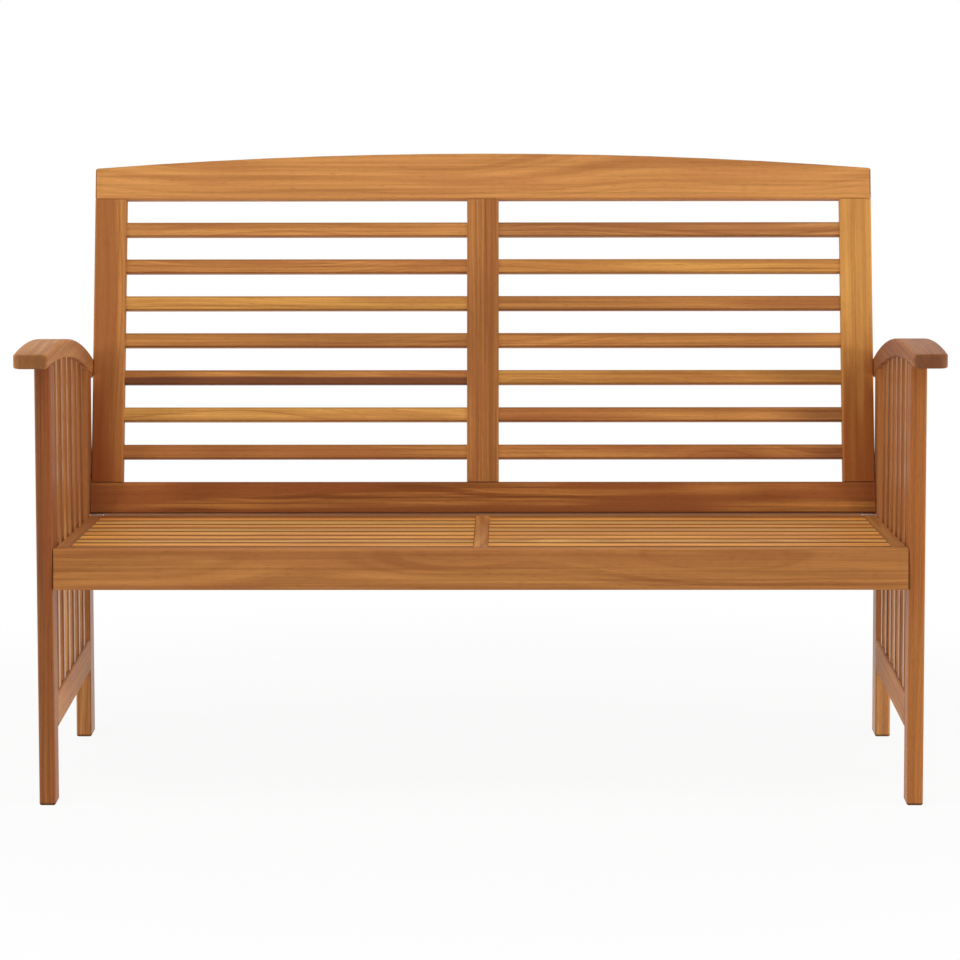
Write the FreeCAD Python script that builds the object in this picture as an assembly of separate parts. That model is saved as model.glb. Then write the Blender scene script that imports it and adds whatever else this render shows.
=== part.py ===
import FreeCAD, Part
import math
import os

# Two-seat slatted garden bench in oiled hardwood. All sizes are in millimetres.
# +X is to the right seen from the front, +Y is to the rear, +Z is up.
# While the bench is put together, y = 0 is the plane of the front legs' front faces.
# At the end it is moved so that the origin lies on the floor, under the centre of its outer box.

# Side frames
clear_width = 1106.0
leg_thickness = 21.0
front_leg_depth = 45.0
rear_leg_depth = 50.0
side_frame_depth = 507.5
side_rail_height = 44.0
side_rail_clearance = 94.0
side_slat_count = 6
side_slat_depth = 20.0
side_slat_thickness = 15.0

# Armrests, sawn to two long arcs that fall away to the rear and part a little towards it
arm_width = 45.0
arm_thickness = 20.5
arm_height = 595.0
arm_top_setback = 58.0
arm_top_radius = 1790.0
arm_under_setback = 12.0
arm_under_radius = 1929.0
arm_front_reach = 36.0
arm_rear_reach = 40.0
arm_inner_overhang = 0.5
arm_corner_radius = 12.0
arm_edge_radius = 4.0
arm_under_bevel = 1.5

# Seat frame, which slopes down to the rear
seat_height = 337.0
seat_slope_deg = 2.7
seat_setback = 1.0
seat_rail_height = 54.0
seat_rail_thickness = 20.0
seat_rear_lap = 12.5
seat_tail_margin = 8.0
seat_tail_radius = 38.0
seat_slat_count = 8
seat_slat_width = 40.0
seat_slat_thickness = 14.0
seat_rear_slot = 30.0

# Backrest frame, which leans back
back_recline_deg = 14.5
back_standoff = 3.0
back_lift = 1.0
back_thickness = 20.0
back_stile_width = 45.0
back_rail_height = 45.0
back_opening_height = 405.0
back_crest_end_height = 45.0
back_crest_rise = 21.5
back_slat_count = 7
back_slat_height = 20.0
back_slat_thickness = 15.0

# Eased edges: round on the boards that show most, flat on the slats, rear legs and inner rails
board_edge_radius = 3.0
rail_edge_bevel = 2.0
slat_edge_bevel = 1.5
foot_bevel = 1.5

# Mortise and tenon joints
joint_fit = 0.15
leg_tenon_length = 20.0
leg_tenon_shoulder = 6.0
arm_tenon_length = 9.0
slat_tenon_length = 9.0
slat_tenon_shoulder = 3.5
seat_tenon_length = 10.0
seat_tenon_shoulder = 6.0
seat_mortise_web = 4.0
stile_tenon_length = 15.0
stile_tenon_shoulder = 6.0

# Bolts that hold the seat and the backrest between the side frames
side_gap = 0.8
bolt_radius = 3.0
bolt_hole_play = 0.3
bolt_head_radius = 7.0
bolt_head_height = 3.0
bolt_socket_width = 4.0
bolt_socket_depth = 2.2
counterbore_radius = 8.0
counterbore_depth = 5.0
insert_radius = 5.0
insert_length = 14.0
insert_play = 0.05
bolt_end_gap = 1.0
socket_side_count = 6
shank_side_count = 12
seat_front_bolt_inset = 13.0
back_bolt_heights = (18.0, 55.0)

# Places that follow from the sizes above
side_inner = clear_width / 2
side_outer = side_inner + leg_thickness
side_middle = side_inner + leg_thickness / 2
rear_leg_front = side_frame_depth - rear_leg_depth
side_rail_top = side_rail_clearance + side_rail_height
arm_top_centre = (arm_top_setback, arm_height - arm_top_radius)
arm_under_centre = (arm_under_setback, arm_height - arm_thickness - arm_under_radius)
frame_half_width = side_inner - side_gap
seat_slope = math.radians(seat_slope_deg)
seat_depth = (rear_leg_front + seat_rear_lap - seat_setback) / math.cos(seat_slope)
seat_tail_end = (side_frame_depth - seat_tail_margin - seat_setback) / math.cos(seat_slope)
seat_half_inner = frame_half_width - seat_rail_thickness
back_recline = math.radians(back_recline_deg)
back_opening_top = back_rail_height + back_opening_height

Vector = FreeCAD.Vector
ALONG_X, ALONG_Y, ALONG_Z = range(len("XYZ"))
SIDES = {"left": -1, "right": 1}
TOUCH = 1e-6
OVERSHOOT = 1.0


def box(x, y, z):
    """Box between three pairs of a low and a high coordinate."""
    return Part.makeBox(x[1] - x[0], y[1] - y[0], z[1] - z[0], Vector(x[0], y[0], z[0]))


def side_span(side, near, far):
    """Low and high x of something that lies between two distances from the middle plane."""
    return tuple(sorted((side * near, side * far)))


def centred(middle, size):
    """Low and high coordinate of a size that is centred on a place."""
    return (middle - size / 2, middle + size / 2)


def lies_in(edge, axis, place):
    """Whether an edge lies in the plane at a place on an axis."""
    bounds = edge.BoundBox
    low = (bounds.XMin, bounds.YMin, bounds.ZMin)[axis]
    high = (bounds.XMax, bounds.YMax, bounds.ZMax)[axis]
    return abs(low - place) < TOUCH and abs(high - place) < TOUCH


def ease(shape, size, sharp_planes=(), flat=False):
    """Rounds or bevels every edge, apart from those that lie in the given planes.

    Each plane is an axis and a place on it.
    """
    eased = [e for e in shape.Edges if not any(lies_in(e, *plane) for plane in sharp_planes)]
    return shape.makeChamfer(size, eased) if flat else shape.makeFillet(size, eased)


def bar(spans, axis, size, flat=True):
    """Bar with its four long edges bevelled or rounded and its two ends left square."""
    ends = [(axis, place) for place in spans[axis]]
    return ease(box(*spans), size, ends, flat)


def tenon_core(spans, axis, length, shoulder, slack=0.0):
    """Core that runs through a board and stands out of both ends as a tenon.

    With a slack it is the cutter of the two mortises.
    """
    grown = []
    for index, (low, high) in enumerate(spans):
        if index == axis:
            grown.append((low - length - slack, high + length + slack))
        else:
            grown.append((low + shoulder - slack, high - shoulder + slack))
    return box(*grown)


def join(body, core):
    """Board and its tenons as one solid."""
    return body.fuse(core).removeSplitter()


def cut_all(shape, cutters):
    """Shape with every cutter taken out of it."""
    return shape.cut(Part.makeCompound(cutters)) if cutters else shape


def rod(radius, x, y, z):
    """Cylinder along X between two x places."""
    return Part.makeCylinder(radius, x[1] - x[0], Vector(x[0], y, z), Vector(1, 0, 0))


def prism(side_count, width, x, y, z):
    """Rod along X between two x places, with flat sides and a width across them."""
    corner = width / 2 / math.cos(math.pi / side_count)
    angles = [2 * math.pi * index / side_count for index in range(side_count)]
    points = [Vector(x[0], y + corner * math.cos(a), z + corner * math.sin(a)) for a in angles]
    end = Part.Face(Part.makePolygon(points + points[:1]))
    return end.extrude(Vector(x[1] - x[0], 0, 0))


def shaft(radius, x, y, z):
    """Round rod that is out of sight, drawn with flat sides that touch its circle."""
    return prism(shank_side_count, 2 * radius, x, y, z)


def evenly(low, high, count, size):
    """Spans of a row of equal pieces with equal gaps between them and at both ends."""
    gap = (high - low - count * size) / (count + 1)
    starts = [low + gap + index * (size + gap) for index in range(count)]
    return [(start, start + size) for start in starts]


# Side frames

def below_arm(offset):
    """Everything below the armrests' underside, moved outwards along its normal by an offset."""
    reach = side_outer + arm_width
    return rod(arm_under_radius + offset, (-reach, reach), *arm_under_centre)


def post(spans, edge, flat, tenon_length, shoulder, foot_tenon):
    """Upright that stands under the armrest, scribed to its curve, and its mortise cutter.

    It has a tenon at its foot, or else a bevel round it.
    """
    x, y, (low, _) = spans
    spans = (x, y, (low, arm_height))
    body = bar(spans, ALONG_Z, edge, flat)
    if not foot_tenon:
        body = body.makeChamfer(foot_bevel, [e for e in body.Edges if lies_in(e, ALONG_Z, low)])
    body = body.common(below_arm(-joint_fit))
    foot = tenon_length if foot_tenon else -shoulder
    core_spans = (x, y, (low - foot + tenon_length, arm_height))
    core = tenon_core(core_spans, ALONG_Z, tenon_length, shoulder).common(below_arm(tenon_length))
    cutter = tenon_core(core_spans, ALONG_Z, tenon_length, shoulder, joint_fit)
    cutter = cutter.common(below_arm(tenon_length + joint_fit))
    return join(body, core), cutter


def arm_arc(radius, centre):
    """Arc of the armrest's side view, from its front end to its rear end."""
    front = -arm_front_reach
    rear = side_frame_depth + arm_rear_reach
    places = [Vector(0, y, centre[1] + math.sqrt(radius ** 2 - (y - centre[0]) ** 2))
              for y in (front, (front + rear) / 2, rear)]
    return Part.Arc(*places).toShape()


def faces_of_radius(shape, radius):
    """Cylindrical faces of a radius."""
    curved = [face for face in shape.Faces if isinstance(face.Surface, Part.Cylinder)]
    return [face for face in curved if abs(face.Surface.Radius - radius) < TOUCH]


def armrest(side, cutters):
    """Armrest sawn to its arcs, with round corners in plan and eased edges."""
    top = arm_arc(arm_top_radius, arm_top_centre)
    under = arm_arc(arm_under_radius, arm_under_centre)
    ends = [Part.makeLine(a.Point, b.Point) for a, b in zip(top.Vertexes, under.Vertexes)]
    arm = Part.Face(Part.Wire([top, ends[1], under, ends[0]])).extrude(Vector(arm_width, 0, 0))
    inner = side_inner - arm_inner_overhang
    arm.translate(Vector(side_span(side, inner, inner + arm_width)[0], 0, 0))

    upright = [e for e in arm.Edges if lies_in(e, ALONG_Y, e.BoundBox.YMin)
               and not lies_in(e, ALONG_Z, e.BoundBox.ZMin)]
    arm = arm.makeFillet(arm_corner_radius, upright)
    top_edges = [e for face in faces_of_radius(arm, arm_top_radius) for e in face.Edges]
    arm = arm.makeFillet(arm_edge_radius, top_edges)
    under_edges = [e for face in faces_of_radius(arm, arm_under_radius) for e in face.Edges]
    arm = arm.makeChamfer(arm_under_bevel, under_edges)
    return cut_all(arm, cutters)


def side_frame(name, side, leg_holes):
    """The ten pieces of one side frame by node name."""
    pieces = {}
    x_leg = side_span(side, side_inner, side_outer)
    x_slat = centred(side * side_middle, side_slat_thickness)
    clear = (front_leg_depth, rear_leg_front)

    rail_spans = (x_leg, clear, (side_rail_clearance, side_rail_top))
    rail_core = tenon_core(rail_spans, ALONG_Y, leg_tenon_length, leg_tenon_shoulder)
    rail_cutter = tenon_core(rail_spans, ALONG_Y, leg_tenon_length, leg_tenon_shoulder, joint_fit)
    rail = join(bar(rail_spans, ALONG_Y, rail_edge_bevel), rail_core)

    arm_cutters = []
    legs = {"front_leg": ((0, front_leg_depth), board_edge_radius, False),
            "rear_leg": ((rear_leg_front, side_frame_depth), rail_edge_bevel, True)}
    for leg_name, (y, edge, flat) in legs.items():
        leg_spans = (x_leg, y, (0, arm_height))
        leg, cutter = post(leg_spans, edge, flat, arm_tenon_length, leg_tenon_shoulder, False)
        pieces[leg_name + "_" + name] = cut_all(leg, [rail_cutter] + leg_holes)
        arm_cutters.append(cutter)

    slat_cutters = []
    for number, y in enumerate(evenly(*clear, side_slat_count, side_slat_depth), 1):
        slat_spans = (x_slat, y, (side_rail_top, arm_height))
        slat, cutter = post(slat_spans, slat_edge_bevel, True, slat_tenon_length, slat_tenon_shoulder, True)
        pieces["side_slat_%s_%d" % (name, number)] = slat
        slat_cutters.append(cutter)

    pieces["side_rail_" + name] = cut_all(rail, slat_cutters)
    pieces["armrest_" + name] = armrest(side, arm_cutters + slat_cutters)
    return pieces


# Seat, drawn level: y = 0 at its front face and z = 0 at its top

def seat_point(depth, height):
    """Place of a point of the level seat once the seat is tilted and set between the legs."""
    y = seat_setback + depth * math.cos(seat_slope) + height * math.sin(seat_slope)
    z = seat_height - depth * math.sin(seat_slope) + height * math.cos(seat_slope)
    return y, z


def seat_in_place(shape):
    """Level seat piece tilted and set between the legs."""
    tilt = FreeCAD.Rotation(Vector(1, 0, 0), -seat_slope_deg)
    shape.Placement = FreeCAD.Placement(Vector(0, *seat_point(0, 0)), tilt).multiply(shape.Placement)
    return shape


def seat_side_rail(side):
    """Side rail with a tenon in front and a rounded tail that reaches past the backrest's foot."""
    x = side_span(side, seat_half_inner, frame_half_width)
    bend = min(seat_tail_radius, seat_rail_height - rail_edge_bevel - TOUCH)
    start = seat_tail_end - bend
    slant = bend * math.sqrt(0.5)
    corners = [
        Vector(x[0], seat_rail_thickness, 0),
        Vector(x[0], start, 0),
        Vector(x[0], seat_tail_end, -bend),
        Vector(x[0], seat_tail_end, -seat_rail_height),
        Vector(x[0], seat_rail_thickness, -seat_rail_height),
    ]
    tail_arc = Part.Arc(corners[1], Vector(x[0], start + slant, slant - bend), corners[2]).toShape()
    lines = [Part.makeLine(corners[0], corners[1]), Part.makeLine(corners[2], corners[3]),
             Part.makeLine(corners[3], corners[4]), Part.makeLine(corners[4], corners[0])]
    outline = Part.Wire([lines[0], tail_arc] + lines[1:])
    rail = Part.Face(outline).extrude(Vector(seat_rail_thickness, 0, 0))
    rail = ease(rail, rail_edge_bevel, [(ALONG_Y, seat_rail_thickness)], flat=True)
    spans = (x, (seat_rail_thickness, start), (-seat_rail_height, 0))
    trimmed = (spans[0], (spans[1][0], spans[1][1] - seat_tenon_length), spans[2])
    core = tenon_core(trimmed, ALONG_Y, seat_tenon_length, seat_tenon_shoulder)
    cutter = tenon_core(trimmed, ALONG_Y, seat_tenon_length, seat_tenon_shoulder, joint_fit)
    return join(rail, core), cutter


def seat_cross_rail(depth, half_width):
    """Rail along X whose front face is at a depth."""
    return ((-half_width, half_width), (depth, depth + seat_rail_thickness), (-seat_rail_height, 0))


def seat():
    """The pieces of the seat by node name, still level."""
    rear_front = seat_depth - seat_rail_thickness
    front_spans = seat_cross_rail(0, frame_half_width)
    rear_spans = seat_cross_rail(rear_front, seat_half_inner)
    centre_spans = (centred(0, seat_rail_thickness), (seat_rail_thickness, rear_front),
                    (-seat_rail_height, 0))

    side_rails = {name: seat_side_rail(side) for name, side in SIDES.items()}
    rear_core = tenon_core(rear_spans, ALONG_X, seat_tenon_length, seat_tenon_shoulder)
    rear_cutter = tenon_core(rear_spans, ALONG_X, seat_tenon_length, seat_tenon_shoulder, joint_fit)
    centre_core = tenon_core(centre_spans, ALONG_Y, seat_tenon_length, seat_tenon_shoulder)
    centre_cutter = tenon_core(centre_spans, ALONG_Y, seat_tenon_length, seat_tenon_shoulder, joint_fit)

    slats_end = rear_front - seat_rear_slot
    slat_gap = (slats_end - seat_rail_thickness) / seat_slat_count - seat_slat_width
    bays = [(-seat_half_inner, -seat_rail_thickness / 2), (seat_rail_thickness / 2, seat_half_inner)]
    pieces = {}
    slat_cutters = []
    tenon_length = (seat_rail_thickness - seat_mortise_web) / 2
    for number in range(1, seat_slat_count + 1):
        rear = seat_rail_thickness + number * (slat_gap + seat_slat_width)
        row = []
        for bay in bays:
            spans = (bay, (rear - seat_slat_width, rear), (-seat_slat_thickness, 0))
            core = tenon_core(spans, ALONG_X, tenon_length, slat_tenon_shoulder)
            row.append(join(bar(spans, ALONG_X, slat_edge_bevel), core))
            slat_cutters.append(tenon_core(spans, ALONG_X, tenon_length, slat_tenon_shoulder, joint_fit))
        pieces["seat_slat_row_%d" % number] = Part.makeCompound(row)

    side_cutters = [cutter for _, cutter in side_rails.values()]
    front = bar(front_spans, ALONG_X, board_edge_radius, flat=False)
    pieces["seat_front_rail"] = cut_all(front, side_cutters + [centre_cutter])
    rear = join(bar(rear_spans, ALONG_X, rail_edge_bevel), rear_core)
    pieces["seat_rear_rail"] = cut_all(rear, [centre_cutter])
    centre = join(bar(centre_spans, ALONG_Y, rail_edge_bevel), centre_core)
    pieces["seat_centre_rail"] = cut_all(centre, slat_cutters)
    for name, (rail, _) in side_rails.items():
        pieces["seat_side_rail_" + name] = cut_all(rail, slat_cutters + [rear_cutter])
    return pieces


# Backrest, drawn upright: y = 0 at its front face and z = 0 at its foot

def back_foot():
    """Lower front edge of the backrest, just behind the seat's rear top edge."""
    y, z = seat_point(seat_depth, 0)
    return y + back_standoff, z + back_lift


def back_point(height, depth):
    """Place of a point of the upright backrest once it leans between the rear legs."""
    y, z = back_foot()
    y += height * math.sin(back_recline) + depth * math.cos(back_recline)
    z += height * math.cos(back_recline) - depth * math.sin(back_recline)
    return y, z


def back_in_place(shape):
    """Upright backrest piece leant back and set between the rear legs."""
    tilt = FreeCAD.Rotation(Vector(1, 0, 0), -back_recline_deg)
    shape.Placement = FreeCAD.Placement(Vector(0, *back_foot()), tilt).multiply(shape.Placement)
    return shape


def crest_rail():
    """Top rail with a straight underside and an arched top, round above and bevelled elsewhere."""
    end_top = back_opening_top + back_crest_end_height
    left, right = -frame_half_width, frame_half_width
    arch = Part.Arc(Vector(left, 0, end_top), Vector(0, 0, end_top + back_crest_rise),
                    Vector(right, 0, end_top)).toShape()
    sides = [Part.makeLine(Vector(right, 0, end_top), Vector(right, 0, back_opening_top)),
             Part.makeLine(Vector(right, 0, back_opening_top), Vector(left, 0, back_opening_top)),
             Part.makeLine(Vector(left, 0, back_opening_top), Vector(left, 0, end_top))]
    rail = Part.Face(Part.Wire([arch] + sides)).extrude(Vector(0, back_thickness, 0))
    ends = [(ALONG_X, left), (ALONG_X, right)]
    foot = (ALONG_Z, back_opening_top)
    rail = ease(rail, board_edge_radius, ends + [foot])
    other_edges = [e for e in rail.Edges if any(lies_in(e, *plane) for plane in ends + [foot])]
    return rail.makeChamfer(rail_edge_bevel, other_edges)


def back():
    """The pieces of the backrest by node name, still upright."""
    y = (0, back_thickness)
    z = (back_rail_height, back_opening_top)
    outer_middle = frame_half_width - back_stile_width / 2
    stile_middles = {"left": -outer_middle, "centre": 0, "right": outer_middle}
    pieces = {}
    stile_cutters = []
    for name, middle in stile_middles.items():
        spans = (centred(middle, back_stile_width), y, z)
        core = tenon_core(spans, ALONG_Z, stile_tenon_length, stile_tenon_shoulder)
        stile = bar(spans, ALONG_Z, board_edge_radius, flat=False)
        pieces["back_stile_" + name] = join(stile, core)
        stile_cutters.append(tenon_core(spans, ALONG_Z, stile_tenon_length, stile_tenon_shoulder, joint_fit))

    bottom_spans = ((-frame_half_width, frame_half_width), y, (0, back_rail_height))
    bottom = bar(bottom_spans, ALONG_X, board_edge_radius, flat=False)
    pieces["back_bottom_rail"] = cut_all(bottom, stile_cutters)
    pieces["back_crest_rail"] = cut_all(crest_rail(), stile_cutters)

    y_slat = centred(back_thickness / 2, back_slat_thickness)
    bay = (back_stile_width / 2, frame_half_width - back_stile_width)
    slat_cutters = []
    for name, side in SIDES.items():
        x = side_span(side, *bay)
        rows = evenly(*z, back_slat_count, back_slat_height)
        for number, z_slat in enumerate(rows, 1):
            spans = (x, y_slat, z_slat)
            core = tenon_core(spans, ALONG_X, slat_tenon_length, slat_tenon_shoulder)
            pieces["back_slat_%s_%d" % (name, number)] = join(bar(spans, ALONG_X, slat_edge_bevel), core)
            cutter = tenon_core(spans, ALONG_X, slat_tenon_length, slat_tenon_shoulder, joint_fit)
            slat_cutters.append(cutter)
    for name in stile_middles:
        pieces["back_stile_" + name] = cut_all(pieces["back_stile_" + name], slat_cutters)
    return pieces


# Bolts

def bolt_places():
    """Where the bolts of one side cross the side frame, by the node they hold, as y and z."""
    front_y = front_leg_depth - seat_front_bolt_inset
    rear_y = (rear_leg_front + side_frame_depth) / 2
    places = []
    for y in (front_y, rear_y):
        depth = (y - seat_setback) / math.cos(seat_slope)
        places.append(seat_point(depth, -seat_rail_height / 2))
    for height in back_bolt_heights:
        places.append(back_point(height, back_thickness / 2))
    return places


def leg_bore(side, y, z):
    """Clear hole through a leg with a counterbore in its outer face."""
    outside = side_outer + OVERSHOOT
    hole = shaft(bolt_radius + bolt_hole_play, side_span(side, side_inner - OVERSHOOT, outside), y, z)
    sunk = rod(counterbore_radius, side_span(side, side_outer - counterbore_depth, outside), y, z)
    return hole.fuse(sunk)


def insert_bore(side, y, z):
    """Blind hole for a threaded insert in the outer face of the seat or the backrest."""
    x = side_span(side, frame_half_width - insert_length, side_inner)
    return shaft(insert_radius + insert_play, x, y, z)


def insert(side, y, z):
    """Threaded insert, drawn as a plain bush, let into the seat or the backrest."""
    x = side_span(side, frame_half_width - insert_length, frame_half_width)
    return shaft(insert_radius, x, y, z).cut(shaft(bolt_radius + insert_play, x, y, z))


def bolt(side, y, z):
    """Flat-headed hexagon socket bolt that runs from the counterbore into the insert."""
    seat_x = side_outer - counterbore_depth
    head_x = seat_x + bolt_head_height
    end_x = frame_half_width - insert_length + bolt_end_gap
    shank = shaft(bolt_radius, side_span(side, end_x, seat_x), y, z)
    head = rod(bolt_head_radius, side_span(side, seat_x, head_x), y, z)
    socket_x = side_span(side, head_x - bolt_socket_depth, head_x)
    return shank.fuse(head).cut(prism(socket_side_count, bolt_socket_width, socket_x, y, z))


def fasteners():
    """Bolts and threaded inserts, each kind as one group of solids."""
    places = [(side, y, z) for side in SIDES.values() for y, z in bolt_places()]
    return {"frame_bolts": Part.makeCompound([bolt(*place) for place in places]),
            "threaded_inserts": Part.makeCompound([insert(*place) for place in places])}


def bench():
    """Every node of the bench in place."""
    nodes = {}
    for name, side in SIDES.items():
        leg_holes = [leg_bore(side, y, z) for y, z in bolt_places()]
        nodes.update(side_frame(name, side, leg_holes))
    bores = [insert_bore(side, y, z) for side in SIDES.values() for y, z in bolt_places()]
    bored = ["seat_side_rail_left", "seat_side_rail_right", "back_bottom_rail",
             "back_stile_left", "back_stile_right"]
    framed = {name: seat_in_place(shape) for name, shape in seat().items()}
    framed.update({name: back_in_place(shape) for name, shape in back().items()})
    for name in bored:
        framed[name] = cut_all(framed[name], bores)
    nodes.update(framed)
    nodes.update(fasteners())
    return nodes


def main():
    """Builds the bench, centres it on its outer box and writes a STEP file for each node."""
    nodes = bench()
    boxes = [shape.optimalBoundingBox(False, False) for shape in nodes.values()]
    middle = (min(b.YMin for b in boxes) + max(b.YMax for b in boxes)) / 2
    os.makedirs("parts", exist_ok=True)
    for name, shape in nodes.items():
        shape.translate(Vector(0, -middle, 0))
        shape.exportStep("parts/%s.step" % name)
    width = max(b.XMax for b in boxes) - min(b.XMin for b in boxes)
    depth = max(b.YMax for b in boxes) - min(b.YMin for b in boxes)
    height = max(b.ZMax for b in boxes)
    print("nodes %d, width %.1f, depth %.1f, height %.1f" % (len(nodes), width, depth, height))


main()
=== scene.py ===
import math
import random
from collections import namedtuple

import bpy
from mathutils import Euler, Matrix, Vector

# Looks of a slatted two-seat garden bench in oiled hardwood. Lengths are in metres.

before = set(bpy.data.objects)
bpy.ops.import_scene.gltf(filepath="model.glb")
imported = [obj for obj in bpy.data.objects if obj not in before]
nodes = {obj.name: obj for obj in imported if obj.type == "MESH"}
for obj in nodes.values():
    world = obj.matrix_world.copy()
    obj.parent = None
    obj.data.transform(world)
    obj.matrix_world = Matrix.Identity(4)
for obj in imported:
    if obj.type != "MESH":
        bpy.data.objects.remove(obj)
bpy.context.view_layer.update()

FASTENERS = ("frame_bolts", "threaded_inserts")


# Boards. A table that is looked up by the start of a name gives the first entry that fits.

# Tilt of the boards about X, in degrees, by the start of their names
TILTS = {"seat_": 2.7, "back_": 14.5}

# Axis that the grain of each board runs along, by the start of its name
GRAINS = {
    "front_leg": "Z", "rear_leg": "Z", "armrest": "Y", "side_rail": "Y", "side_slat": "Z",
    "seat_front": "X", "seat_rear": "X", "seat_slat": "X", "seat_centre": "Y", "seat_side": "Y",
    "back_crest": "X", "back_bottom": "X", "back_slat": "X", "back_stile": "Z",
}

# Axes of a board along, across and through its grain, by the axis of the grain
AXES = {"X": (0, 1, 2), "Y": (1, 0, 2), "Z": (2, 0, 1)}

# Colours of the oiled wood as they look on the screen, from the palest to the darkest
TONES = {
    "apricot": (0.945, 0.650, 0.310),
    "straw": (0.865, 0.640, 0.340),
    "wheat": (0.845, 0.605, 0.365),
    "honey": (0.815, 0.585, 0.300),
    "amber": (0.785, 0.542, 0.298),
    "sand": (0.760, 0.530, 0.330),
    "golden": (0.760, 0.516, 0.275),
    "hazel": (0.735, 0.505, 0.290),
    "tan": (0.700, 0.464, 0.245),
    "walnut": (0.680, 0.430, 0.204),
    "clay": (0.625, 0.405, 0.258),
    "russet": (0.655, 0.395, 0.192),
    "umber": (0.620, 0.375, 0.190),
    # The ember tone is painted shade, not a colour of the wood
    "painted_shade_ember": (0.550, 0.230, 0.060),
    "heart": (0.430, 0.245, 0.160),
}

BOARD_TONES = {
    "front_leg_left": "umber", "front_leg_right": "russet",
    "rear_leg_left": "hazel", "rear_leg_right": "wheat",
    "armrest_left": "hazel", "armrest_right": "clay",
    "side_rail_left": "sand", "side_rail_right": "sand",
    "seat_front_rail": "tan", "seat_rear_rail": "tan", "seat_centre_rail": "golden",
    "seat_side_rail_left": "tan", "seat_side_rail_right": "tan",
    "back_crest_rail": "amber", "back_bottom_rail": "walnut",
    "back_stile_left": "golden", "back_stile_centre": "tan", "back_stile_right": "honey",
}

# Tones of the numbered slats of a row, from number 1 on
SLAT_TONES = {
    "back_slat_left": ("golden", "straw", "golden", "golden", "honey", "golden", "amber"),
    "back_slat_right": ("golden", "golden", "honey", "golden", "tan", "honey", "hazel"),
    "seat_slat_row": ("apricot", "straw", "apricot", "apricot",
                      "straw", "apricot", "straw", "apricot"),
    "side_slat_left": ("wheat", "sand", "wheat", "sand", "wheat", "sand"),
    "side_slat_right": ("wheat", "sand", "sand", "wheat", "sand", "wheat"),
}

# How strongly the figure of a board shows, by the start of its name
FIGURES = {
    "front_leg_left": 1.5, "front_leg_right": 0.9, "rear_leg": 0.8, "armrest": 0.8,
    "side_rail": 0.6, "side_slat": 1.0,
    "seat_front": 0.75, "seat_slat": 1.2, "seat": 1.0,
    "back_crest": 0.6, "back_bottom": 1.8, "back_slat": 1.05,
    "back_stile_right": 0.6, "back_stile": 1.0,
}

# Edges along a board, by the start of its name: the gain of the colour there, and how much of it
# shows. The edges in narrow gaps get painted shade, and all others are worn pale.
Arris = namedtuple("Arris", "gain share")
GAP_SHADE_ARRISES = {
    "side_slat": Arris(0.36, 0.80),
    "seat_slat": Arris(0.22, 0.98), "seat_side": Arris(0.45, 0.60), "seat_rear": Arris(0.40, 0.80),
    "back_slat": Arris(0.45, 0.60), "back_bottom": Arris(0.45, 0.60),
}
WORN_ARRIS = Arris(1.45, 0.20)

# Distances from an arris at which its colour starts and is complete, and the power that its gain is
# raised to for each channel
ARRIS_START = 0.0035
ARRIS_END = 0.0005
ARRIS_POWERS = (1.0, 1.10, 1.15)

# Darker wood within a board, and painted shade, by the start of its name: the tone, the axis and
# side that it comes in from, how far it reaches, how soft its border is, and how much of it shows
HeartOrShade = namedtuple("HeartOrShade", "tone axis side reach soft share")
HEARTS_AND_SHADES = {
    "front_leg_left": (HeartOrShade("heart", "X", -1, 0.008, 0.003, 0.60),
                       HeartOrShade("golden", "Z", -1, 0.250, 0.080, 0.12)),
    "front_leg_right": (HeartOrShade("golden", "Z", -1, 0.250, 0.080, 0.30),),
    # Painted shade: the rear legs darker from their tops down to below the seat
    "rear_leg": (HeartOrShade("umber", "Z", 1, 0.400, 0.050, 0.90),),
    # Painted shade: the side slats darker above the seat
    "side_slat": (HeartOrShade("russet", "Z", 1, 0.260, 0.040, 0.75),),
    "back_slat_left_3": (HeartOrShade("heart", "Z", -1, 0.010, 0.002, 0.90),),
    "back_slat_left_4": (HeartOrShade("heart", "X", 1, 0.300, 0.120, 0.25),),
    "back_slat_right_1": (HeartOrShade("heart", "X", 1, 0.060, 0.060, 0.45),),
    "back_slat_right_2": (HeartOrShade("heart", "X", 1, 0.060, 0.060, 0.45),),
    # Painted shade: the ember entry of each outer stile darkens and reddens it towards its foot,
    # below the armrest
    "back_stile_left": (HeartOrShade("umber", "X", -1, 0.032, 0.008, 0.85),
                        HeartOrShade("painted_shade_ember", "Z", -1, 0.090, 0.120, 0.60)),
    "back_stile_right": (HeartOrShade("painted_shade_ember", "Z", -1, 0.150, 0.120, 0.75),),
}

# How much some boards shine where they are seen at a very flat angle, by the start of their names,
# the facing values between which the shine comes up, and its roughness
POLISHES = {"side_slat": 0.46, "front_leg": 0.16, "rear_leg": 0.45}
POLISH_FACING = (0.75, 0.92)
POLISH_ROUGHNESS = 0.30


# Wood. Noises are drawn out along the grain: scale along and across it, detail and roughness.

Noise = namedtuple("Noise", "along across detail roughness")
WANDER = Noise(1.6, 3.0, 1.5, 0.5)
BORDER = Noise(4.0, 40.0, 2.0, 0.5)

# What the figure is made of, with the weight of each part
CLOUDS, CLOUDS_WEIGHT = Noise(2.2, 22.0, 2.0, 0.55), 0.65
FIBRES, FIBRES_WEIGHT = Noise(5.0, 330.0, 3.0, 0.6), 0.55
HAIRS, HAIRS_WEIGHT = Noise(22.0, 1500.0, 2.0, 0.6), 0.22
RINGS_WEIGHT = 0.85
RINGS_DETAIL = 4.0
RINGS_ROUGHNESS = 0.62

# Places on the figure's colour ramp, with the gain of each channel there
STOPS = ((0.18, (0.58, 0.46, 0.42)), (0.50, (1.0, 1.0, 1.0)), (0.86, (1.28, 1.38, 1.40)))

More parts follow.
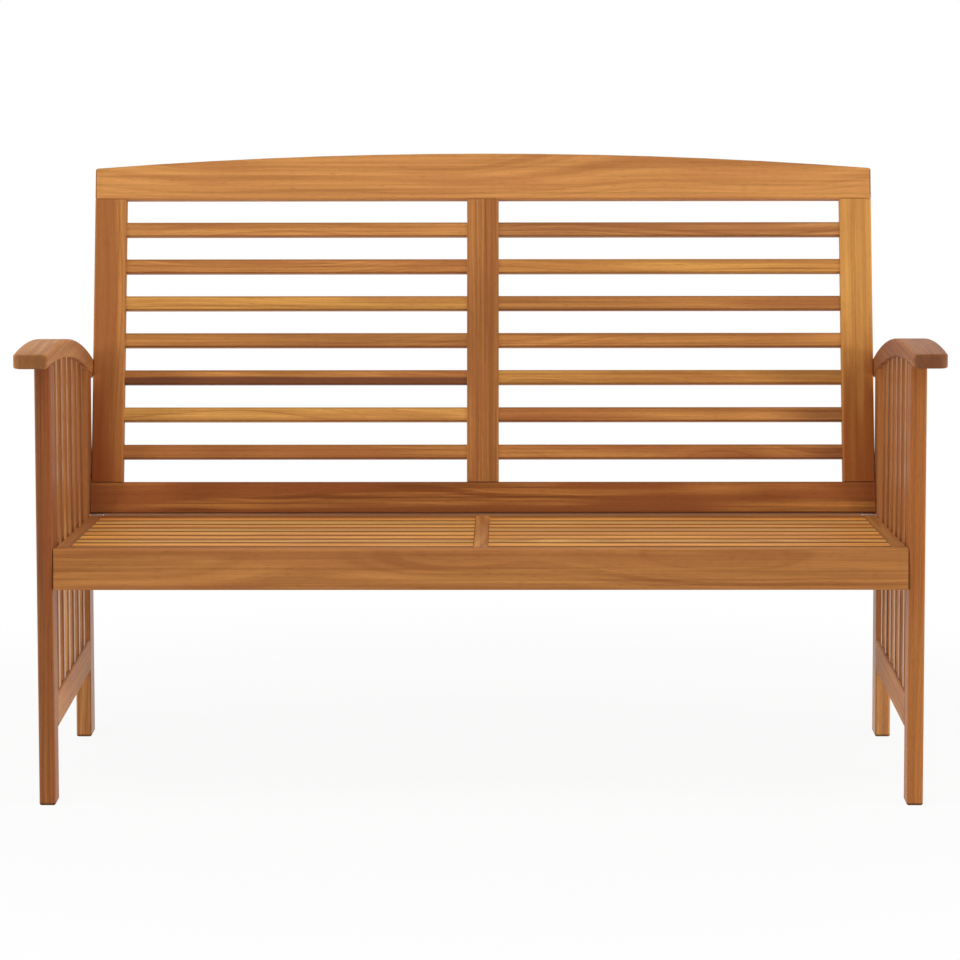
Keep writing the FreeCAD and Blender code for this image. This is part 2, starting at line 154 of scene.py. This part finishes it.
# Dark marks: their noise, the values of it that they start and are complete at, how much of them
# shows, and the gain of each channel in them
Mark = namedtuple("Mark", "noise low high share gains")
STREAKS = Mark(Noise(1.7, 75.0, 2.0, 0.5), 0.54, 0.70, 0.45, (0.48, 0.39, 0.36))
LINES = Mark(Noise(1.3, 240.0, 2.0, 0.5), 0.51, 0.61, 0.32, (0.42, 0.34, 0.32))
FLUSHES = Mark(Noise(3.5, 40.0, 1.0, 0.5), 0.46, 0.64, 0.50, (0.72, 0.56, 0.62))
PORES = Mark(Noise(70.0, 1900.0, 1.0, 0.5), 0.60, 0.70, 0.35, (0.33, 0.28, 0.27))

# How much a heart's border waves, as a multiple of its softness
BORDER_WAVE = 3.0

# End grain drinks more oil: the size of the normal along the grain that it starts and is complete
# at, how much of it shows, and the gain of each channel in it
END_LOW = 0.50
END_HIGH = 0.68
END_SHARE = 0.76
END_GAINS = (0.42, 0.36, 0.34)

# Darker band at the feet of the legs: its height, how far its border spreads as a part of the
# height, how much of it shows, and the gain of the colour in it
FOOT_BAND_HEIGHT = 0.003
FOOT_BAND_SPREAD = 0.3
FOOT_BAND_SHARE = 0.80
FOOT_BAND_GAIN = 0.20

# Spans that each board draws its own values from. The pith's angle is in radians, and its reach and
# swing are in metres. The rings' density is the scale of their noise.
GAIN_SPAN = (0.99, 1.08)
ROW_SHIFT_SPAN = (2.0, 3.0)
SEED_SPAN = (-20, 20)
PITH_REACH_SPAN = (0.05, 0.11)
PITH_ANGLE_SPAN = (0.15, 1.45)
PITH_SWING_SPAN = (0.05, 0.09)
RING_DENSITY_SPAN = (150, 230)

# Relief and gloss of the surface
FIBRES_RELIEF = 0.5
HAIRS_RELIEF = 0.5
PORES_RELIEF = 0.6
RELIEF_STRENGTH = 0.35
RELIEF_HEIGHT = 0.0006
WOOD_ROUGHNESS = 0.55
FIBRES_ROUGHNESS = 0.22
PORES_ROUGHNESS = 0.15
WOOD_SPECULAR = 0.14


# Zinc plating

ZINC_DULL = (0.27, 0.28, 0.29, 1.0)
ZINC_BRIGHT = (0.37, 0.365, 0.35, 1.0)
# Painted shade in the sockets of the bolts' heads
SOCKET_PAINTED_SHADE = (0.02, 0.02, 0.02, 1.0)

# Depths below the outer face of a bolt's head between which its socket gets painted shade, and how
# much
SOCKET_SHADE_START = 0.0003
SOCKET_SHADE_END = 0.0014
SOCKET_SHADE_SHARE = 0.90

# Noise of the turning marks, which run round a bolt, and of the bloom: scale along X, Y and Z,
# detail and roughness
TURNING = ((4000.0, 300.0, 300.0), 2.0, 0.6)
BLOOM = ((180.0, 180.0, 180.0), 3.0, 0.6)

# Values of the bloom between which the zinc goes from dull to bright
BLOOM_RANGE = (0.35, 0.65)
ZINC_ROUGHNESS = 0.22
BLOOM_ROUGHNESS = 0.25
TURNING_STRENGTH = 0.2
TURNING_HEIGHT = 0.0002


# Floor

WHITE = (1.0, 1.0, 1.0, 1.0)
FLOOR_HALF = 40.0
FLOOR_DULL = (0.86, 0.86, 0.86, 1.0)
FLOOR_BRIGHT = (0.90, 0.90, 0.90, 1.0)
SPECKLE = ((60.0, 60.0, 60.0), 3.0)

# Distances from the bench's centre between which the floor's shadow fades, and how white the floor
# is near the bench
SHADOW_START = 0.7
SHADOW_END = 1.5
NEAR_WHITE = 0.92


# Light: a white surround, a large soft lamp above the front, a high and a low one from each side,
# and a weak one behind

AMBIENT_COLOUR = (1.0, 0.99, 0.98, 1.0)
AMBIENT_STRENGTH = 0.30
BENCH_MIDDLE = (0, 0, 0.45)
BENCH_LOW = (0, 0, 0.30)

# Name, place, target, width in metres and power in watts
LAMPS = (
    ("key", (-0.2, -1.5, 3.9), BENCH_MIDDLE, 2.4, 62),
    ("fill_right", (3.2, -2.0, 2.2), BENCH_MIDDLE, 1.8, 22),
    ("fill_left", (-3.2, -1.8, 2.0), BENCH_MIDDLE, 1.8, 17),
    ("low_right", (3.8, -1.3, 0.35), BENCH_LOW, 0.6, 60),
    ("low_left", (-3.8, -1.3, 0.35), BENCH_LOW, 0.6, 56),
    ("rear", (0, 2.8, 3.4), BENCH_MIDDLE, 1.2, 12),
)


# Camera at the photograph's viewing angle. Angles are in degrees, and AXIS_PX is how far the
# optical axis lies below the picture's upper edge.

FOCAL_PX = 4050.0
IMAGE_PX = 960.0
AXIS_PX = 362.0
SENSOR_MM = 36.0
CAMERA_PLACE = (0.0361, -5.4661, 1.1184)
CAMERA_YAW = -0.4035
CAMERA_PITCH = 5.949
CAMERA_ROLL = -0.081


def linear(channel):
    """Linear value of a channel given as it looks on the screen."""
    return channel / 12.92 if channel <= 0.04045 else ((channel + 0.055) / 1.055) ** 2.4


def shade(colour, *gains):
    """Linear colour of a tone after a gain, or after one for each channel."""
    gains = gains if len(gains) == 3 else gains * 3
    return tuple(min(linear(c) * gain, 1.0) for c, gain in zip(colour, gains)) + (1.0,)


class Tree:
    """Short calls for building the node tree of a material or of the world."""

    def __init__(self, owner):
        owner.use_nodes = True
        self.tree = owner.node_tree
        self.tree.nodes.clear()

    def add(self, kind, inputs=None, **settings):
        node = self.tree.nodes.new("ShaderNode" + kind)
        for name, value in settings.items():
            setattr(node, name, value)
        for key, value in (inputs or {}).items():
            if isinstance(value, bpy.types.NodeSocket):
                self.tree.links.new(value, node.inputs[key])
            else:
                node.inputs[key].default_value = value
        return node

    def math(self, operation, *values, clamp=False):
        inputs = dict(enumerate(values))
        return self.add("Math", inputs, operation=operation, use_clamp=clamp).outputs[0]

    def vector(self, operation, *values):
        inputs = dict(enumerate(values))
        return self.add("VectorMath", inputs, operation=operation).outputs[0]

    def length(self, vector):
        return self.add("VectorMath", {0: vector}, operation="LENGTH").outputs["Value"]

    def split(self, vector):
        return self.add("SeparateXYZ", {0: vector}).outputs

    def join(self, *values):
        return self.add("CombineXYZ", dict(enumerate(values))).outputs[0]

    def centred(self, value):
        """A noise's value, taken from its middle."""
        return self.math("SUBTRACT", value, 0.5)

    def ramp(self, value, low, high, start=0.0, end=1.0):
        inputs = {"Value": value, "From Min": low, "From Max": high,
                  "To Min": start, "To Max": end}
        return self.add("MapRange", inputs, interpolation_type="SMOOTHSTEP").outputs[0]

    def noise(self, vector, scale, detail, roughness=0.5, output="Fac"):
        inputs = {"Vector": self.vector("MULTIPLY", vector, scale), "Scale": 1.0,
                  "Detail": detail, "Roughness": roughness}
        return self.add("TexNoise", inputs).outputs[output]

    def mix(self, factor, first, second):
        inputs = {0: factor, 6: first, 7: second}
        return self.add("Mix", inputs, data_type="RGBA").outputs[2]

    def first_sight(self):
        """1 for rays from the camera, a mirror or a clear body, and 0 for those that light."""
        rays = self.add("LightPath").outputs
        reflected = self.math("MAXIMUM", rays["Is Glossy Ray"], rays["Is Transmission Ray"])
        return self.math("MAXIMUM", rays["Is Camera Ray"], reflected)


def first_match(table, name):
    """Value of the first key that a name starts with, or None."""
    return next((value for key, value in table.items() if name.startswith(key)), None)


def board_tone(name):
    """Tone of a board, or of a numbered slat."""
    if name in BOARD_TONES:
        return TONES[BOARD_TONES[name]]
    row, number = name.rsplit("_", 1)
    return TONES[SLAT_TONES[row][int(number) - 1]]


def straight_place(t, name):
    """Place in a board along X, Y and Z once its tilt is undone, and its half sizes along them."""
    tilt = math.radians(first_match(TILTS, name) or 0.0)
    turn = Euler((tilt, 0, 0)).to_matrix()
    points = [turn @ v.co for v in nodes[name].data.vertices]
    low = Vector(min(p[i] for p in points) for i in range(3))
    high = Vector(max(p[i] for p in points) for i in range(3))
    inputs = {"Vector": t.add("TexCoord").outputs["Object"], "Rotation": (tilt, 0, 0),
              "Location": tuple(-(low + high) / 2)}
    return t.split(t.add("Mapping", inputs).outputs[0]), (high - low) / 2


def grain_place(t, name, dice, along, across, through):
    """Place in a board along, across and through its grain, with a start of its own."""
    # Both slats of a row are cut from different boards
    if name.startswith("seat_slat"):
        row_shift = t.math("MULTIPLY", t.math("SIGN", along), dice.uniform(*ROW_SHIFT_SPAN))
    else:
        row_shift = 0.0
    seed = tuple(dice.uniform(*SEED_SPAN) for _ in range(3))
    return t.vector("ADD", t.join(t.math("ADD", along, row_shift), across, through), seed)


def grain_noise(t, grain, noise, output="Fac"):
    """Noise that is drawn out along the grain."""
    scale = (noise.along, noise.across, noise.across)
    return t.noise(grain, scale, noise.detail, noise.roughness, output)


def marked(t, grain, mark):
    """1 within a kind of mark, and 0 outside it."""
    return t.ramp(grain_noise(t, grain, mark.noise), mark.low, mark.high)


def growth_rings(t, dice, grain, across, through):
    """Growth rings round a pith outside the board, which wanders along it."""
    wander = grain_noise(t, grain, WANDER, "Color")
    wander = t.split(t.vector("SUBTRACT", wander, (0.5, 0.5, 0.5)))
    reach = dice.uniform(*PITH_REACH_SPAN)
    angle = dice.uniform(*PITH_ANGLE_SPAN) * dice.choice((-1, 1)) + dice.choice((0, math.pi))
    swing = dice.uniform(*PITH_SWING_SPAN)
    pith_across = t.math("ADD", across, reach * math.cos(angle))
    pith_through = t.math("ADD", through, reach * math.sin(angle))
    pith_across = t.math("MULTIPLY_ADD", wander[0], swing, pith_across)
    pith_through = t.math("MULTIPLY_ADD", wander[1], swing, pith_through)
    radius = t.length(t.join(pith_across, pith_through))
    inputs = {"W": t.math("MULTIPLY", radius, dice.uniform(*RING_DENSITY_SPAN)), "Scale": 1.0,
              "Detail": RINGS_DETAIL, "Roughness": RINGS_ROUGHNESS}
    return t.add("TexNoise", inputs, noise_dimensions="1D").outputs["Fac"]


def figured(t, tone, gain, value):
    """Colour of the wood for a value of its figure, from its dark parts to its pale ones."""
    ramp = t.add("ValToRGB", {"Fac": value})
    stops = ramp.color_ramp.elements
    stops.new(0.5)
    for stop, (position, gains) in zip(stops, STOPS):
        stop.position = position
        stop.color = shade(tone, *(gain * g for g in gains))
    return ramp.outputs["Color"]


def with_heart_or_shade(t, colour, heart, grain, place, half):
    """Colour with darker wood, or painted shade, that comes in from one side of the board."""
    index = "XYZ".index(heart.axis)
    inward = t.math("MULTIPLY_ADD", place[index], -heart.side, half[index])
    wave = t.centred(grain_noise(t, grain, BORDER))
    inward = t.math("MULTIPLY_ADD", wave, BORDER_WAVE * heart.soft, inward)
    share = t.ramp(inward, heart.reach + heart.soft, heart.reach - heart.soft, 0.0, heart.share)
    return t.mix(share, colour, shade(TONES[heart.tone], 1.0))


def with_arrises(t, colour, name, tone, place, half):
    """Colour with the edges along the board worn pale, or with painted shade on those in a narrow
    gap.
    """
    gaps = [t.math("SUBTRACT", half[i], t.math("ABSOLUTE", place[i]))
            for i in AXES[first_match(GRAINS, name)][1:]]
    arris = first_match(GAP_SHADE_ARRISES, name) or WORN_ARRIS
    # The dark edges in narrow gaps are painted shade
    edge = t.ramp(t.math("MAXIMUM", *gaps), ARRIS_START, ARRIS_END, 0.0, arris.share)
    return t.mix(edge, colour, shade(tone, *(arris.gain ** power for power in ARRIS_POWERS)))


def with_ends(t, colour, name, tone):
    """Colour with the board's end grain, and with a darker band at the foot of a leg."""
    facing = t.split(t.add("TexCoord").outputs["Normal"])[first_match(GRAINS, name)]
    end = t.ramp(t.math("ABSOLUTE", facing), END_LOW, END_HIGH, 0.0, END_SHARE)
    colour = t.mix(end, colour, shade(tone, *END_GAINS))
    if "_leg_" not in name:
        return colour
    above_floor = t.split(t.add("TexCoord").outputs["Object"])["Z"]
    foot_band = t.ramp(above_floor, (1 + FOOT_BAND_SPREAD) * FOOT_BAND_HEIGHT, (1 - FOOT_BAND_SPREAD) * FOOT_BAND_HEIGHT,
                  0.0, FOOT_BAND_SHARE)
    return t.mix(foot_band, colour, shade(tone, FOOT_BAND_GAIN))


def wood(name):
    """Oiled hardwood with its grain along one board."""
    dice = random.Random("bench " + name)
    tone = board_tone(name)
    gain = dice.uniform(*GAIN_SPAN)
    strength = first_match(FIGURES, name)

    material = bpy.data.materials.new("wood_" + name)
    t = Tree(material)
    place, half = straight_place(t, name)
    along, across, through = (place[i] for i in AXES[first_match(GRAINS, name)])
    grain = grain_place(t, name, dice, along, across, through)
    rings = growth_rings(t, dice, grain, across, through)
    clouds = grain_noise(t, grain, CLOUDS)
    fibres = grain_noise(t, grain, FIBRES)
    hairs = grain_noise(t, grain, HAIRS)
    pores = marked(t, grain, PORES)

    figure = t.math("MULTIPLY", t.centred(rings), RINGS_WEIGHT)
    for part, weight in ((clouds, CLOUDS_WEIGHT), (fibres, FIBRES_WEIGHT), (hairs, HAIRS_WEIGHT)):
        figure = t.math("MULTIPLY_ADD", t.centred(part), weight, figure)
    figure = t.math("MULTIPLY_ADD", figure, strength, 0.5, clamp=True)

    colour = figured(t, tone, gain, figure)
    for mark in (STREAKS, LINES, FLUSHES):
        share = t.math("MULTIPLY", marked(t, grain, mark), mark.share * strength)
        colour = t.mix(share, colour, shade(tone, *mark.gains))
    # Darker wood, and painted shade on some boards
    for heart in first_match(HEARTS_AND_SHADES, name) or ():
        colour = with_heart_or_shade(t, colour, heart, grain, place, half)
    colour = t.mix(t.math("MULTIPLY", pores, PORES.share), colour, shade(tone, *PORES.gains))
    colour = with_arrises(t, colour, name, tone, place, half)
    colour = with_ends(t, colour, name, tone)

    height = t.math("MULTIPLY_ADD", hairs, HAIRS_RELIEF, t.math("MULTIPLY", fibres, FIBRES_RELIEF))
    height = t.math("SUBTRACT", height, t.math("MULTIPLY", pores, PORES_RELIEF))
    relief = t.add("Bump", {"Strength": RELIEF_STRENGTH, "Distance": RELIEF_HEIGHT,
                            "Height": height})
    rough = t.math("MULTIPLY_ADD", t.centred(fibres), FIBRES_ROUGHNESS, WOOD_ROUGHNESS)
    rough = t.math("MULTIPLY_ADD", pores, PORES_ROUGHNESS, rough, clamp=True)

    inputs = {"Base Color": colour, "Roughness": rough, "Normal": relief.outputs[0],
              "Specular IOR Level": WOOD_SPECULAR}
    polish = first_match(POLISHES, name)
    if polish:
        grazing = t.add("LayerWeight", {"Blend": 0.5}).outputs["Facing"]
        inputs["Coat Weight"] = t.ramp(grazing, *POLISH_FACING, 0.0, polish)
        inputs["Coat Roughness"] = POLISH_ROUGHNESS
    shader = t.add("BsdfPrincipled", inputs)
    t.add("OutputMaterial", {"Surface": shader.outputs[0]})
    return material


def zinc():
    """Zinc-plated steel with fine turning marks, a slight bloom and painted shade in the sockets.
    """
    material = bpy.data.materials.new("zinc_plated_steel")
    t = Tree(material)
    place = t.add("TexCoord").outputs["Object"]
    outer = max(abs(v.co.x) for v in nodes["frame_bolts"].data.vertices)
    depth = t.math("SUBTRACT", outer, t.math("ABSOLUTE", t.split(place)["X"]))
    turning = t.noise(place, *TURNING)
    bloom = t.noise(place, *BLOOM)
    colour = t.mix(t.ramp(bloom, *BLOOM_RANGE), ZINC_DULL, ZINC_BRIGHT)
    # Painted shade deep in the sockets
    colour = t.mix(t.ramp(depth, SOCKET_SHADE_START, SOCKET_SHADE_END, 0.0, SOCKET_SHADE_SHARE), colour, SOCKET_PAINTED_SHADE)
    rough = t.math("MULTIPLY_ADD", bloom, BLOOM_ROUGHNESS, ZINC_ROUGHNESS)
    relief = t.add("Bump", {"Strength": TURNING_STRENGTH, "Distance": TURNING_HEIGHT,
                            "Height": turning})
    shader = t.add("BsdfPrincipled", {"Base Color": colour, "Metallic": 1.0, "Roughness": rough,
                                      "Normal": relief.outputs[0]})
    t.add("OutputMaterial", {"Surface": shader.outputs[0]})
    return material


def pale_paint():
    """Pale floor that keeps a soft shadow close to the bench."""
    material = bpy.data.materials.new("pale_floor")
    t = Tree(material)
    place = t.add("TexCoord").outputs["Object"]
    speckle = t.noise(place, *SPECKLE)
    matt = t.add("BsdfDiffuse", {"Color": t.mix(speckle, FLOOR_DULL, FLOOR_BRIGHT)})
    white = t.add("Emission", {"Color": WHITE, "Strength": 1.0})
    fading = t.ramp(t.length(place), SHADOW_START, SHADOW_END, NEAR_WHITE, 1.0)
    glow = t.math("MULTIPLY", t.first_sight(), fading)
    surface = t.add("MixShader", {0: glow, 1: matt.outputs[0], 2: white.outputs[0]})
    t.add("OutputMaterial", {"Surface": surface.outputs[0]})
    return material


def surround():
    """World that looks white and lights with a weaker, slightly warm white."""
    world = bpy.data.worlds.new("surround")
    t = Tree(world)
    ambient = t.add("Background", {"Color": AMBIENT_COLOUR, "Strength": AMBIENT_STRENGTH})
    white = t.add("Background", {"Color": WHITE, "Strength": 1.0})
    blend = t.add("MixShader", {0: t.first_sight(), 1: ambient.outputs[0], 2: white.outputs[0]})
    t.add("OutputWorld", {"Surface": blend.outputs[0]})
    return world


def add_object(name, data):
    """New object in the scene."""
    thing = bpy.data.objects.new(name, data)
    bpy.context.scene.collection.objects.link(thing)
    return thing


def add_lamp(name, place, target, size, power):
    """Square soft lamp at a place, turned to a target."""
    light = bpy.data.lights.new(name, "AREA")
    light.shape = "SQUARE"
    light.size = size
    light.energy = power
    lamp = add_object(name, light)
    lamp.location = place
    aim = Vector(target) - Vector(place)
    lamp.rotation_euler = aim.to_track_quat("-Z", "Y").to_euler()


def turned(degrees, axis):
    return Matrix.Rotation(math.radians(degrees), 3, axis)


metal = zinc()
for name, piece in nodes.items():
    look = metal if name in FASTENERS else wood(name)
    piece.data.materials.clear()
    piece.data.materials.append(look)

floor_mesh = bpy.data.meshes.new("floor")
corners = [(x * FLOOR_HALF, y * FLOOR_HALF, 0) for x, y in ((-1, -1), (1, -1), (1, 1), (-1, 1))]
floor_mesh.from_pydata(corners, [], [(0, 1, 2, 3)])
floor_mesh.materials.append(pale_paint())
floor = add_object("floor", floor_mesh)

bpy.context.scene.world = surround()
for values in LAMPS:
    add_lamp(*values)

lens = bpy.data.cameras.new("camera")
lens.sensor_width = SENSOR_MM
lens.lens = FOCAL_PX / IMAGE_PX * SENSOR_MM
lens.shift_y = (AXIS_PX - IMAGE_PX / 2) / IMAGE_PX
camera = add_object("camera", lens)
camera.location = CAMERA_PLACE
camera.rotation_euler = (turned(-CAMERA_YAW, "Z") @ turned(90 - CAMERA_PITCH, "X")
                         @ turned(CAMERA_ROLL, "Z")).to_euler()
bpy.context.scene.camera = camera

bpy.context.scene.view_settings.view_transform = "Standard"
